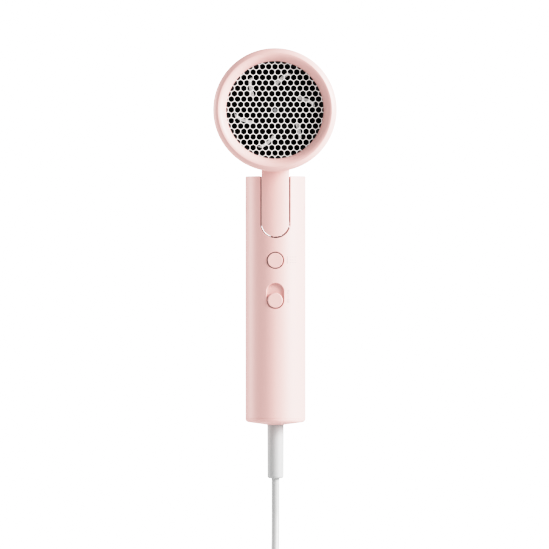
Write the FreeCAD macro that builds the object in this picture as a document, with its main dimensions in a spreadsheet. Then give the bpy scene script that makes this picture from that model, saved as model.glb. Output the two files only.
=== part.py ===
import FreeCAD, Part
import math
import os
import re

import Sketcher
from FreeCAD import Placement, Rotation, Vector

# Folding travel hair dryer, in millimetres.  +Z runs up the handle, -Y is the air intake and the
# side with the controls, +Y is the way the air leaves, +X is the right of someone facing the
# intake.  The origin is on the handle's axis, at the middle of the grip.
# Every size below is a cell of the sheet, and every sub-part's sizes are bound to the cells.

doc = FreeCAD.newDocument("travel_hair_dryer")
sheet = doc.addObject("Spreadsheet::Sheet", "dim")

SIZES = [
    # handle
    ("handle_radius", 18.75), ("handle_wall", 2.2), ("handle_top", 77.4), ("roof", 2),
    ("cap_line", -73.2), ("edge_round", 0.4), ("joint_round", 0.2), ("foot_edge", -75.7),
    ("foot_sag", 2), ("foot_round", 2.2), ("clamp_screw_x", 9.7),
    # fold: pivot height, neck and the slot it folds through
    ("pivot_z", 57.6), ("neck_half", 8.6), ("neck_drop", 18), ("slot_half", 9.05),
    ("rear_drop", 18.7), ("front_drop", 19.5), ("heel", 18.2), ("neck_wall", 2),
    ("pin_radius", 2.5), ("pin_inner", 4), ("pin_outer", 16), ("bush_bore", 2.55),
    ("bush_radius", 4), ("pivot_cap", 4.5), ("washer_gap", 0.05), ("washer_pocket", 6.6),
    ("fold_gap", 0.12), ("nose_gap", 0.2), ("heel_gap", 0.3), ("wall_step", 2),
    ("yoke_foot", 32), ("yoke_radius", 16.5), ("yoke_screw_x", 6), ("yoke_screw_seat", 16.2),
    ("wire_radius", 0.9), ("wire_pitch", 2.1), ("wire_hole", 3.5),
    # head
    ("head_z", 117.6), ("ring_radius", 38.1), ("ring_crest_y", -55), ("ring_crest", 35.1),
    ("ring_inner_y", -53.4), ("ring_inner", 32.3), ("mesh_y", -49), ("mesh_open", 30),
    ("barrel_back", -43), ("barrel_back_radius", 37.8), ("outlet_line", 62), ("outlet_end", 70),
    ("outlet_end_radius", 30.5), ("barrel_wall", 1.8), ("seat_radius", 27),
    ("mesh_pitch", 3.84), ("mesh_hole", 3.2), ("mesh_thick", 0.6), ("mesh_radius", 31.1),
    # air path
    ("duct_bore", 28.9), ("duct_wall", 1.4), ("duct_front", -8), ("mica_radius", 28.2),
    ("mica_bore", 27.6), ("mica_back", -2), ("fan_radius", 28.3), ("fan_y", -36),
    ("hub_radius", 10), ("shaft_radius", 1.15), ("motor_radius", 12), ("motor_back", -25),
    ("coil_radius", 25), ("coil_wire", 0.9), ("coil_pitch", 7.2), ("coil_start", 14),
    ("cross_half", 24), ("cross_thick", 0.6),
    # controls
    ("button_z", 25), ("button_hole", 5.2), ("button_radius", 4.75), ("button_face", -18.95),
    ("knob_z", 0.15), ("knob_radius", 4.72), ("knob_face", -19.2), ("knob_travel", 5.5),
    ("recess_half", 5.2), ("recess_floor", -16.4), ("pad_back", -14.8),
    ("stem_drop", 2.9), ("board_y", -6),
    ("board_thick", 1.6), ("board_half", 10),
    # supply cord
    ("relief_radius", 5.2), ("relief_end", -110.9), ("relief_round", 1.3), ("cord_radius", 2.5),
    ("hank_top", -158),
    ("hank_length", 122), ("hank_half", 23.3), ("hank_waist", 20), ("hank_depth", 15.8),
    ("tie_half", 4), ("tie_thick", 1), ("lead_length", 26), ("plug_half", 18), ("plug_end", 13),
    ("plug_length", 38), ("plug_grip", 16), ("plug_pin_radius", 2.4), ("plug_pin_length", 19),
    ("plug_pin_spacing", 19),
]
for row, (alias, number) in enumerate(SIZES, start=1):
    sheet.set(f"A{row}", alias)
    sheet.set(f"B{row}", str(number))
    sheet.setAlias(f"B{row}", alias)
doc.recompute()
ALIASES = {alias for alias, number in SIZES}

# Centre of the neck's round nose.
NOSE_CENTRE = "pivot_z - neck_drop + neck_half"

# Turns that lay a primitive's own Z axis along X or along Y.
TURNS = {"x": Rotation(Vector(0, 1, 0), 90), "y": Rotation(Vector(1, 0, 0), -90), "z": Rotation()}


def rule(text):
    """A sheet expression: each alias in the text gets the sheet's name in front."""
    return re.sub(r"[a-z]\w*", lambda m: "dim." + m[0] if m[0] in ALIASES else m[0], str(text))


def value(text):
    return float(sheet.evalExpression(rule(text)))


def bind(piece, **rules):
    for name, text in rules.items():
        piece.setExpression(name.replace("__", "."), rule(text))
    return piece


def move_to(piece, x="0", y="0", z="0"):
    return bind(piece, Placement__Base__x=x, Placement__Base__y=y, Placement__Base__z=z)


def block(name, x, y, z):
    """A box between two limits along each axis."""
    piece = doc.addObject("Part::Box", name)
    for side, (low, high) in zip(("Length", "Width", "Height"), (x, y, z)):
        bind(piece, **{side: f"({high}) - ({low})"})
    return move_to(piece, x[0], y[0], z[0])


def rod(name, axis, radius, start, stop, across=("0", "0")):
    """A cylinder along an axis; across holds its two other coordinates, in X, Y, Z order."""
    piece = doc.addObject("Part::Cylinder", name)
    piece.Placement = Placement(Vector(), TURNS[axis])
    bind(piece, Radius=radius, Height=f"({stop}) - ({start})")
    return move_to(piece, **along(axis, start, across))


def cone(name, axis, radii, start, stop, across=("0", "0")):
    """A cone along an axis, with its radius at the start and at the stop."""
    piece = doc.addObject("Part::Cone", name)
    piece.Placement = Placement(Vector(), TURNS[axis])
    bind(piece, Radius1=radii[0], Radius2=radii[1], Height=f"({stop}) - ({start})")
    return move_to(piece, **along(axis, start, across))


def along(axis, start, across):
    others = [letter for letter in "xyz" if letter != axis]
    return {axis: start, others[0]: across[0], others[1]: across[1]}


def join(name, *pieces):
    union = doc.addObject("Part::MultiFuse", name)
    union.Shapes = list(pieces)
    return union


def shared(name, *pieces):
    overlap = doc.addObject("Part::MultiCommon", name)
    overlap.Shapes = list(pieces)
    return overlap


def cut(name, base, *tools):
    piece = doc.addObject("Part::Cut", name)
    piece.Base = base
    piece.Tool = tools[0] if len(tools) == 1 else join(name + "_tools", *tools)
    return piece


def group(name, *pieces):
    """Separate identical solids that share one node."""
    together = doc.addObject("Part::Compound", name)
    together.Links = list(pieces)
    return together


def outline_sketch(body, role, corners, name="outline"):
    """A closed outline on one of the body's origin planes, anticlockwise, bound to the sheet.
    A corner is (across, up) or (across, up, sag): the side after a corner with a sag is an arc
    that stands out by that much."""
    sketch = body.newObject("Sketcher::SketchObject", f"{body.Name}_{name}")
    plane = next(item for item in body.Origin.OriginFeatures if item.Role == role)
    sketch.AttachmentSupport = [(plane, "")]
    sketch.MapMode = "FlatFace"
    points = [Vector(value(corner[0]), value(corner[1]), 0) for corner in corners]
    ends = []
    for i, corner in enumerate(corners):
        here, there = points[i], points[(i + 1) % len(points)]
        if len(corner) == 3:
            outward = Vector(there.y - here.y, here.x - there.x, 0).normalize()
            middle = (here + there) * 0.5 + outward * value(corner[2])
            side = sketch.addGeometry(Part.Arc(here, middle, there), False)
        else:
            side = sketch.addGeometry(Part.LineSegment(here, there), False)
        starts_here = sketch.getPoint(side, 1).distanceToPoint(here) < 1e-6
        ends.append((side, 1, 2) if starts_here else (side, 2, 1))
    for i, (side, first, last) in enumerate(ends):
        next_side, next_first, _ = ends[(i + 1) % len(ends)]
        sketch.addConstraint(Sketcher.Constraint("Coincident", side, last, next_side, next_first))
        for kind, axis, text, place in (("DistanceX", -2, corners[i][0], points[i].x),
                                        ("DistanceY", -1, corners[i][1], points[i].y)):
            if abs(place) < 1e-9:
                sketch.addConstraint(Sketcher.Constraint("PointOnObject", side, first, axis))
                continue
            index = sketch.addConstraint(Sketcher.Constraint(kind, -1, 1, side, first, place))
            sketch.renameConstraint(index, f"{kind}_{i}")
            sketch.setExpression(f"Constraints.{kind}_{i}", rule(text))
    return sketch


def turned(name, corners, axis="y"):
    """A body turned about its own Y or Z axis; corners are (along, radius) for Y, (radius, up)
    for Z."""
    body = doc.addObject("PartDesign::Body", name)
    role, line = ("YZ_Plane", "H_Axis") if axis == "y" else ("XZ_Plane", "V_Axis")
    sketch = outline_sketch(body, role, corners)
    feature = body.newObject("PartDesign::Revolution", name + "_turn")
    feature.Profile = sketch
    feature.ReferenceAxis = (sketch, [line])
    feature.Angle = 360
    if axis == "y":
        move_to(body, z="head_z")
    return body


def round_rims(body, radius, rims):
    """Fillet the circular edges of a turned body, each given as (distance along, radius)."""
    doc.recompute()
    base = body.Tip
    wanted = [(value(a), value(r)) for a, r in rims]
    names = []
    for i, edge in enumerate(base.Shape.Edges, start=1):
        if not isinstance(edge.Curve, Part.Circle):
            continue
        centre, size = edge.Curve.Center, edge.Curve.Radius
        place = centre.y + centre.z
        if any(abs(place - a) < 0.01 and abs(size - r) < 0.01 for a, r in wanted):
            names.append(f"Edge{i}")
    fillet = body.newObject("PartDesign::Fillet", f"{body.Name}_{radius.split()[0]}")
    fillet.Base = (base, names)
    bind(fillet, Radius=radius)
    return body


def rounded(name, piece, radius, chosen):
    """The piece with the chosen edges rounded."""
    doc.recompute()
    size = value(radius)
    fillet = doc.addObject("Part::Fillet", name)
    fillet.Base = piece
    fillet.Edges = [(i, size, size) for i, edge in enumerate(piece.Shape.Edges, start=1) if chosen(edge)]
    return fillet


def on_grip_surface(edge):
    """True for an edge that lies on the handle's outer surface, above the foot's joint."""
    places = [edge.valueAt(edge.FirstParameter + (edge.LastParameter - edge.FirstParameter) * k / 6)
              for k in range(7)]
    radius = value("handle_radius")
    return (all(abs(math.hypot(p.x, p.y) - radius) < 0.01 for p in places)
            and value("cap_line") + 0.1 < edge.CenterOfMass.z < value("handle_top + 4"))


def screw(name, axis, toward, seat, across, head=1.9, shank=0.95, length=8):
    """A pan-head screw; seat is under its head, and toward is +1 or -1, the way it points."""
    head_top = f"({seat}) - {toward} * 1.2"
    tip = f"({seat}) + {toward} * {length}"
    low, high = (head_top, seat) if toward > 0 else (seat, head_top)
    top = rod(name + "_head", axis, head, low, high, across)
    low, high = (seat, tip) if toward > 0 else (tip, seat)
    return join(name, top, rod(name + "_shank", axis, shank, low, high, across))


# ---- handle -------------------------------------------------------------------------------

def yoke_screw_place(side):
    return (f"{side} * yoke_screw_x", "yoke_foot + 3")


def handle_sleeve():
    """One moulded tube with a roof, a slot front and rear for the neck, and the two control
    openings in its rear."""
    shell = cut("sleeve_tube",
                rod("sleeve_outside", "z", "handle_radius", "cap_line", "handle_top"),
                rod("sleeve_inside", "z", "handle_radius - handle_wall", "cap_line",
                    "handle_top - roof"))
    pad = shared("sleeve_pad",
                 rod("pad_round", "z", "handle_radius - 0.5", "knob_z - 14", "knob_z + 16"),
                 block("pad_block", ("-8", "8"), ("-20", "pad_back"), ("knob_z - 12", "knob_z + 14")))
    rear_slot = join("rear_slot",
                     block("rear_slot_side", ("-slot_half", "slot_half"), ("-20", "0"),
                           ("pivot_z - rear_drop + slot_half", "handle_top + 1")),
                     rod("rear_slot_end", "y", "slot_half", "-20", "0",
                         ("0", "pivot_z - rear_drop + slot_half")))
    front_slot = block("front_slot", ("-slot_half", "slot_half"), ("0", "20"),
                       ("pivot_z - front_drop", "handle_top + 1"))
    cap_holes = [rod("cap_hole_left", "x", "pivot_cap", "-20", "-12", ("0", "pivot_z")),
                 rod("cap_hole_right", "x", "pivot_cap", "12", "20", ("0", "pivot_z"))]
    button_hole = rod("button_opening", "y", "button_hole", "-20", "-12", ("0", "button_z"))
    screw_holes = []
    for side in (-1, 1):
        for label, size, low in (("head", 2.1, "yoke_screw_seat"), ("shank", 1.1, 12)):
            screw_holes.append(rod(f"sleeve_screw_{label}_{side + 1}", "y", size, low, "20",
                                   yoke_screw_place(side)))
    roof_edge = cut("roof_edge",
                    rod("roof_disc", "z", "handle_radius - wall_step", "handle_top - roof",
                        "handle_top - edge_round"),
                    block("roof_gap", ("-neck_half - fold_gap", "neck_half + fold_gap"),
                          ("-20", "20"), ("handle_top - roof - 1", "handle_top + 1")))
    slotted = cut("sleeve_slotted", join("sleeve_body", shell, pad), rear_slot, front_slot,
                  *cap_holes, button_hole, *slider_recess(), *screw_holes)
    sharp = join("sleeve_sharp", slotted, roof_edge)
    return rounded("handle_sleeve", sharp, "edge_round", on_grip_surface)


def slider_recess():
    """The stadium-shaped recess for the thumb knob, and the slot for its stem."""
    low, high = "knob_z", "knob_z + knob_travel"
    recess = [block("recess_middle", ("-recess_half", "recess_half"), ("-20", "recess_floor"),
                    (low, high))]
    for label, place in (("low", low), ("high", high)):
        recess.append(rod("recess_" + label, "y", "recess_half", "-20", "recess_floor", ("0", place)))
    slot = block("stem_slot", ("-1.5", "1.5"), ("-20", "-10"),
                 ("knob_z - stem_drop - 1.25", "knob_z - stem_drop + knob_travel + 1.25"))
    return recess + [slot]


def handle_end_cap():
    """A domed foot with a plug-in lip, a hole for the strain relief and two pillars that hold
    the cord clamp."""
    shell = turned("end_cap_shell", [
        ("relief_radius + 0.05", "foot_edge - foot_sag + 0.15"),
        ("handle_radius", "foot_edge"),
        ("handle_radius", "cap_line"), ("handle_radius - handle_wall - 0.05", "cap_line"),
        ("handle_radius - handle_wall - 0.05", "cap_line + 6"), ("14.9", "cap_line + 6"),
        ("14.9", "cap_line"), ("relief_radius + 0.05", "cap_line")], axis="z")
    round_rims(shell, "foot_round", [("foot_edge", "handle_radius")])
    round_rims(shell, "joint_round", [("cap_line", "handle_radius")])
    pieces = [shell]
    for side in (-1, 1):
        width = on_side(side, "clamp_screw_x - 2.4", "clamp_screw_x + 2.4")
        pieces.append(block(f"pillar_{side + 1}", width, ("-2", "4"),
                            ("cap_line - 0.5", "cap_line + 18")))
    pieces.append(block("pillar_bridge", ("-clamp_screw_x", "clamp_screw_x"), ("2.5", "4"),
                        ("cap_line + 8", "cap_line + 18")))
    holes = [rod(f"clamp_pilot_{side + 1}", "y", "0.95", "-3", "4",
                 (f"{side} * clamp_screw_x", "cap_line + 13")) for side in (-1, 1)]
    return cut("handle_end_cap", join("end_cap_body", *pieces), *holes)


def fold_channel(name):
    """The space in the yoke that the neck turns through, close to its sides and its round nose
    so that no light passes, with a pocket on each side for the wave washers."""
    across = ("-neck_half - fold_gap", "neck_half + fold_gap")
    return join(name,
                block(name + "_rear", across, ("-20", "0"), (NOSE_CENTRE, "handle_top")),
                rod(name + "_nose", "y", "neck_half + nose_gap", "-20", "0", ("0", NOSE_CENTRE)),
                rod(name + "_heel", "x", "heel + heel_gap", *across, ("0", "pivot_z")),
                block(name + "_front", across, ("0", "20"), ("pivot_z - front_drop", "handle_top")),
                rod(name + "_pocket", "x", "washer_pocket", "-slot_half", "slot_half",
                    ("0", "pivot_z")))


def hinge_yoke():
    """The insert whose two cheeks carry the hinge pins."""
    core = rod("yoke_core", "z", "yoke_radius", "yoke_foot", "handle_top - roof - 0.1")
    pin_holes = rod("yoke_pin_hole", "x", "pin_radius", "-20", "20", ("0", "pivot_z"))
    wires = rod("yoke_wire_hole", "z", "wire_hole + 0.7", "yoke_foot - 1", "pivot_z")
    holes = [rod(f"yoke_pilot_{side + 1}", "y", "1.1", "7.5", "20", yoke_screw_place(side))
             for side in (-1, 1)]
    return cut("hinge_yoke", core, fold_channel("yoke_channel"), pin_holes, wires, *holes)


def yoke_screws():
    return group("yoke_screws", *[screw(f"yoke_screw_{side + 1}", "y", -1, "yoke_screw_seat",
                                        yoke_screw_place(side), 2, 1.1) for side in (-1, 1)])


def on_side(side, near, far):
    """The limits of a piece that reaches from near to far on the left or the right."""
    return (f"-({far})", f"-({near})") if side < 0 else (near, far)


def pivot_cap(side, name):
    """A small round cover, flush with the handle, over the end of a hinge pin."""
    wall = cut(name + "_wall", rod(name + "_out", "z", "handle_radius", "pivot_z - 6", "pivot_z + 6"),
               rod(name + "_in", "z", "yoke_radius + 0.05", "pivot_z - 6", "pivot_z + 6"))
    low, high = on_side(side, "12", "20")
    return shared(name, wall, rod(name + "_disc", "x", "pivot_cap - 0.04", low, high,
                                  ("0", "pivot_z")))


def hinge_pin(side, name):
    low, high = on_side(side, "pin_inner", "pin_outer")
    return rod(name, "x", "pin_radius", low, high, ("0", "pivot_z"))


def hinge_bush(side, name):
    low, high = on_side(side, "pin_inner", "neck_half")
    return cut(name, rod(name + "_out", "x", "bush_radius", low, high, ("0", "pivot_z")),
               rod(name + "_bore", "x", "bush_bore", "-20", "20", ("0", "pivot_z")))


def hinge_wave_washers():
    """The two thin friction washers between the neck and the yoke's cheeks."""
    washers = []
    for side in (-1, 1):
        low, high = on_side(side, "neck_half + washer_gap", "slot_half - washer_gap")
        name = f"washer_{side + 1}"
        washers.append(cut(name, rod(name + "_out", "x", "6", low, high, ("0", "pivot_z")),
                           rod(name + "_bore", "x", "bush_bore", "-20", "20", ("0", "pivot_z"))))
    return group("hinge_wave_washers", *washers)


# ---- controls and electrics in the handle -------------------------------------------------

# Heights of the circuit board's two screws.
BOARD_SCREWS = ("-41", "8.5 + knob_z + knob_travel")


def switch_carrier():
    """The moulded tray behind the circuit board, with a tower that the button's spring
    stands on."""
    back = block("carrier_back", ("-12.5", "12.5"), ("board_y + board_thick", "board_y + 4"),
                 ("-46", "yoke_foot - 0.5"))
    rails = [block(f"carrier_rail_{side + 1}", on_side(side, "board_half + 0.6", "12.5"),
                   ("board_y - 3", "board_y + 3"), ("-46", "yoke_foot - 0.5")) for side in (-1, 1)]
    pilots = [rod(f"carrier_pilot_{i}", "y", "0.95", "board_y", "board_y + 8", (0, z))
              for i, z in enumerate(BOARD_SCREWS)]
    return cut("switch_carrier", join("carrier_body", back, *rails), *pilots)


def control_board():
    """The circuit board that carries both switches and the two power diodes."""
    board = block("board_plate", ("-board_half", "board_half"), ("board_y", "board_y + board_thick"),
                  ("-45", "yoke_foot - 1"))
    holes = [rod(f"board_hole_{i}", "y", "1.05", "board_y - 1", "board_y + 3", (0, z))
             for i, z in enumerate(BOARD_SCREWS)]
    diodes = [rod(f"diode_{i}", "z", "1.6", "-32", "-25", (x, "board_y - 1.55"))
              for i, x in enumerate((-5, 5))]
    return join("control_board", cut("board_drilled", board, *holes), *diodes)


def board_screws():
    return group("board_screws", *[screw(f"board_screw_{i}", "y", 1, "board_y", (0, z), length=4.5)
                                   for i, z in enumerate(BOARD_SCREWS)])


def speed_switch():
    """The three-place slide switch; its lever runs in the slot in its top."""
    case = block("speed_case", ("-5", "5"), ("-11", "board_y"), ("-13", "10.5"))
    slot = block("speed_slot", ("-1.4", "1.4"), ("-12", "-8.5"),
                 ("knob_z - stem_drop - 1.6", "knob_z - stem_drop + knob_travel + 1.6"))
    return cut("speed_switch", case, slot)


def slider_knob():
    """The round thumb knob with its stem."""
    disc = turned("knob_disc", [
        ("recess_floor - 0.1", "knob_radius"), ("knob_face", "knob_radius"), ("knob_face", "0"),
        ("recess_floor - 0.1", "0")])
    round_rims(disc, "edge_round + 0.2", [("knob_face", "knob_radius")])
    move_to(disc, z="knob_z")
    stem = block("knob_stem", ("-1.25", "1.25"), ("recess_floor - 1", "-13.4"),
                 ("knob_z - stem_drop - 1", "knob_z - stem_drop + 1"))
    return join("slider_knob", disc, stem)


def slider_shutter():
    """The strip behind the recess that keeps its slot covered at every place of the knob."""
    strip = block("shutter_strip", ("-4.5", "4.5"), ("pad_back + 0.1", "pad_back + 0.9"),
                  ("knob_z - 11", "knob_z + 4.6"))
    hole = block("shutter_hole", ("-1.25", "1.25"), ("-16", "-12"),
                 ("knob_z - stem_drop - 1", "knob_z - stem_drop + 1"))
    return cut("slider_shutter", strip, hole)


def speed_switch_lever():
    """The switch's own lever, in the stem's fork."""
    return block("speed_switch_lever", ("-1", "1"), ("-13.4", "-8.9"),
                 ("knob_z - stem_drop - 0.9", "knob_z - stem_drop + 0.9"))


def temp_switch():
    """The push switch under the round button."""
    case = block("temp_case", ("-4", "4"), ("-9.5", "board_y"), ("button_z - 4", "button_z + 4"))
    well = rod("temp_well", "y", "1.6", "-10", "-7.4", ("0", "button_z"))
    return cut("temp_switch", case, well)


def temp_button_cap():
    """The round button with a flat face and a stem on to the switch."""
    disc = turned("button_disc", [
        ("button_face", "0"), ("button_face", "button_radius"),
        ("button_face + 3", "button_radius"), ("button_face + 3", "0")])
    round_rims(disc, "edge_round", [("button_face", "button_radius")])
    move_to(disc, z="button_z")
    stem = rod("button_stem", "y", "1.3", "button_face + 2", "-8.8", ("0", "button_z"))
    return join("temp_button_cap", disc, stem)


def temp_button_spring():
    """The return spring between the button and its switch, as a plain sleeve of its size."""
    return cut("temp_button_spring",
               rod("spring_out", "y", "3.2", "button_face + 3", "-9.5", ("0", "button_z")),
               rod("spring_in", "y", "2.5", "-20", "-8", ("0", "button_z")))


def wires(name, low, high, y):
    """Three insulated wires side by side."""
    return group(name, *[rod(f"{name}_{i}", "z", "wire_radius", low, high,
                             (f"{i - 1} * wire_pitch", y)) for i in range(3)])


def cord_inner_end():
    """The stripped end of the supply cord inside the foot."""
    return rod("cord_inner_end", "z", "cord_radius", "cap_line + 4", "cap_line + 22")


def cord_clamp():
    bar = block("clamp_bar", ("-clamp_screw_x - 2.3", "clamp_screw_x + 2.3"), ("-5.4", "-2.05"),
                ("cap_line + 10", "cap_line + 16"))
    groove = rod("clamp_groove", "z", "cord_radius", "cap_line", "cap_line + 20")
    holes = [rod(f"clamp_hole_{side + 1}", "y", "1.05", "-8", "0",
                 (f"{side} * clamp_screw_x", "cap_line + 13")) for side in (-1, 1)]
    return cut("cord_clamp", bar, groove, *holes)


def cord_clamp_screws():
    return group("cord_clamp_screws", *[
        screw(f"clamp_screw_{side + 1}", "y", 1, "-5.4", (f"{side} * clamp_screw_x", "cap_line + 13"))
        for side in (-1, 1)])


def strain_relief():
    """The plain moulded sleeve where the cord leaves the foot, with a rounded end outside and a
    flange inside."""
    sleeve = turned("strain_relief", [
        ("0", "relief_end"), ("relief_radius - 0.15", "relief_end"), ("relief_radius", "cap_line"),
        ("relief_radius + 1.8", "cap_line"), ("relief_radius + 1.8", "cap_line + 2"),
        ("cord_radius + 0.8", "cap_line + 4"), ("0", "cap_line + 4")], axis="z")
    return round_rims(sleeve, "relief_round", [("relief_end", "relief_radius - 0.15")])


# ---- supply cord --------------------------------------------------------------------------

HANK_MIDDLE = "hank_top - hank_length / 2"
PLUG_TOP = "hank_top - hank_length - lead_length"


def mains_cord():
    """The cord hangs straight from the strain relief to its hank."""
    return rod("mains_cord", "z", "cord_radius", "hank_top", "relief_end")


def cord_hank():
    """The outer shape of the tied hank that holds the rest of the cord: a racetrack with a
    waist where the tie is."""
    low, high = "hank_top - hank_length + hank_half", "hank_top - hank_half"
    body = doc.addObject("PartDesign::Body", "cord_hank")
    sketch = outline_sketch(body, "XZ_Plane", [
        ("-hank_half", low, "hank_half"), ("hank_half", low),
        ("hank_waist", HANK_MIDDLE + " - tie_half - 3"), ("hank_waist", HANK_MIDDLE + " + tie_half + 3"),
        ("hank_half", high, "hank_half"), ("-hank_half", high),
        ("-hank_waist", HANK_MIDDLE + " + tie_half + 3"),
        ("-hank_waist", HANK_MIDDLE + " - tie_half - 3")])
    pad = body.newObject("PartDesign::Pad", "hank_pad")
    pad.Profile = sketch
    pad.SideType = "Symmetric"
    bind(pad, Length="hank_depth")
    return body


def cord_tie():
    """The soft strap round the hank's waist."""
    limits = (HANK_MIDDLE + " - tie_half", HANK_MIDDLE + " + tie_half")
    strap = block("tie_strap", ("-hank_waist - tie_thick", "hank_waist + tie_thick"),
                  ("-hank_depth / 2 - tie_thick", "hank_depth / 2 + tie_thick"), limits)
    inside = block("tie_inside", ("-hank_waist", "hank_waist"), ("-hank_depth / 2", "hank_depth / 2"),
                   (HANK_MIDDLE + " - tie_half - 1", HANK_MIDDLE + " + tie_half + 1"))
    return cut("cord_tie", strap, inside)


def plug_lead():
    """The last of the cord, from the hank down to the plug."""
    return rod("plug_lead", "z", "cord_radius", PLUG_TOP, "hank_top - hank_length")


def plug_body():
    """A moulded two-pin plug: a rounded block at its face and a taper to the cord."""
    face = PLUG_TOP + " - plug_length"
    flat = "plug_half - plug_end"
    block_body = doc.addObject("PartDesign::Body", "plug_block")
    pad = block_body.newObject("PartDesign::Pad", "plug_pad")
    pad.Profile = outline_sketch(block_body, "XY_Plane", [
        (f"-({flat})", "-plug_end"), (flat, "-plug_end", "plug_end"), (flat, "plug_end"),
        (f"-({flat})", "plug_end", "plug_end")])
    bind(pad, Length="plug_grip")
    doc.recompute()
    rims = block_body.newObject("PartDesign::Fillet", "plug_round")
    rims.Base = (pad, ["Face5", "Face6"])
    bind(rims, Radius="edge_round * 5")
    move_to(block_body, z=face)
    taper = cone("plug_taper", "z", ("plug_end - 3", "cord_radius + 1.5"), face + " + plug_grip - 1",
                 PLUG_TOP)
    return join("plug_body", block_body, taper)


def plug_pins():
    face = PLUG_TOP + " - plug_length"
    return group("plug_pins", *[rod(f"plug_pin_{side + 1}", "z", "plug_pin_radius",
                                    face + " - plug_pin_length", face,
                                    (f"{side} * plug_pin_spacing / 2", "0")) for side in (-1, 1)])


# ---- neck ---------------------------------------------------------------------------------

BARREL_SLOPE = "((barrel_back_radius - outlet_end_radius) / (outlet_end - barrel_back))"


def barrel_radius(y):
    """The barrel's outer radius, which narrows evenly from the ring to the outlet."""
    return f"(barrel_back_radius - {BARREL_SLOPE} * (({y}) - barrel_back))"


def neck_form(name, inset, half):
    """The neck's round-nosed tongue, its front heel turned about the pivot, inset all round."""
    bar = rod(name + "_bar", "z", f"handle_radius - {inset}", "pivot_z - 30", "head_z - 26")
    slab = join(name + "_slab", block(name + "_side", (f"-({half})", half), ("-20", "20"),
                                      (NOSE_CENTRE, "head_z - 26")),
                rod(name + "_nose", "y", half, "-20", "20", ("0", NOSE_CENTRE)))
    side = join(name + "_profile",
                block(name + "_rear", ("-10", "10"), ("-20", "0"), ("pivot_z - 30", "head_z - 26")),
                block(name + "_upper", ("-10", "10"), ("0", "20"), (f"pivot_z + {inset}", "head_z - 26")),
                rod(name + "_heel", "x", f"heel - {inset}", "-10", "10", ("0", "pivot_z")))
    return shared(name, bar, slab, side)


def barrel_cone(name, inset, back, front):
    """A solid cone that follows the barrel, smaller in radius by the inset."""
    return cone(name, "y", (f"{barrel_radius(back)} - {inset}", f"{barrel_radius(front)} - {inset}"),
                back, front, ("0", "head_z"))


NECK_SCREWS = [(5, "pivot_z + 11"), (5, "head_z - 37.5")]


def on_neck_rim(edge):
    """True for the long edges of the neck's sides, and for those round its nose."""
    middle = edge.CenterOfMass
    at_side = abs(middle.x) > value("neck_half") - 0.01
    return on_grip_surface(edge) and (at_side or middle.z < value("pivot_z - neck_drop + 5"))


def neck_shells():
    """The two hollow halves of the neck, with a flange that bears on the barrel from inside."""
    flange = shared("neck_flange", barrel_cone("flange_out", "barrel_wall + 0.05", "-19.5", "19.5"),
                    block("flange_block", ("-11", "11"), ("-19.5", "19.5"),
                          ("head_z - 40", "head_z - 20")))
    outside = join("neck_outside", neck_form("neck_outer", "0", "neck_half"), flange)
    bosses = []
    for side in (-1, 1):
        low, high = on_side(side, "pin_inner", "neck_half")
        bosses.append(rod(f"bush_boss_{side + 1}", "x", "bush_radius + 1.6", low, high,
                          ("0", "pivot_z")))
        for i, (x, z) in enumerate(NECK_SCREWS):
            bosses.append(rod(f"neck_boss_{i}_{side + 1}", "y", "1.9", "-20", "20", (side * x, z)))
    hollow = cut("neck_hollow", neck_form("neck_inner", "neck_wall", "neck_half - neck_wall"), *bosses)
    tools = [hollow, barrel_cone("neck_top", "barrel_wall + 1.35", "-30", "30"),
             block("wire_way", ("-wire_hole", "wire_hole"), ("-4", "20"),
                   ("pivot_z - 20", "pivot_z - 10")),
             block("heel_way", ("-wire_hole", "wire_hole"), ("2", "20"),
                   ("pivot_z - 20", "pivot_z + 2.5")),
             rod("bush_seat", "x", "bush_radius", "-10", "10", ("0", "pivot_z"))]
    for side in (-1, 1):
        for i, (x, z) in enumerate(NECK_SCREWS):
            spot = (side * x, z)
            tools.append(rod(f"neck_pilot_{i}_{side + 1}", "y", "0.95", "-9", "20", spot))
            tools.append(rod(f"neck_counterbore_{i}_{side + 1}", "y", "2", "15", "20", spot))
    sharp = cut("neck_sharp", outside, *tools)
    whole = rounded("neck_whole", sharp, "edge_round", on_neck_rim)
    halves = []
    for word, depth in (("rear", ("-20", "0")), ("front", ("0", "20"))):
        space = block(word + "_half", ("-15", "15"), depth, ("30", "100"))
        halves.append(shared(f"neck_{word}_shell", whole, space))
    return halves


def neck_screws():
    screws = [screw(f"neck_screw_{i}_{side + 1}", "y", -1, "15", (side * x, z), length=20)
              for i, (x, z) in enumerate(NECK_SCREWS) for side in (-1, 1)]
    return group("neck_screws", *screws)


# ---- head ---------------------------------------------------------------------------------

def barrel_shell():
    """The tapered barrel, open at both ends, with the window the neck hangs through."""
    shell = turned("barrel_tube", [
        ("outlet_line", barrel_radius("outlet_line")), ("barrel_back", "barrel_back_radius"),
        ("barrel_back", "barrel_back_radius - barrel_wall"),
        ("outlet_line", barrel_radius("outlet_line") + " - barrel_wall")])
    window = shared("neck_window", rod("window_round", "z", "handle_radius + 0.05", "60", "head_z - 10"),
                    block("window_sides", ("-neck_half - 0.05", "neck_half + 0.05"), ("-20", "20"),
                          ("60", "head_z - 10")))
    return cut("barrel_shell", shell, window)


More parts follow.
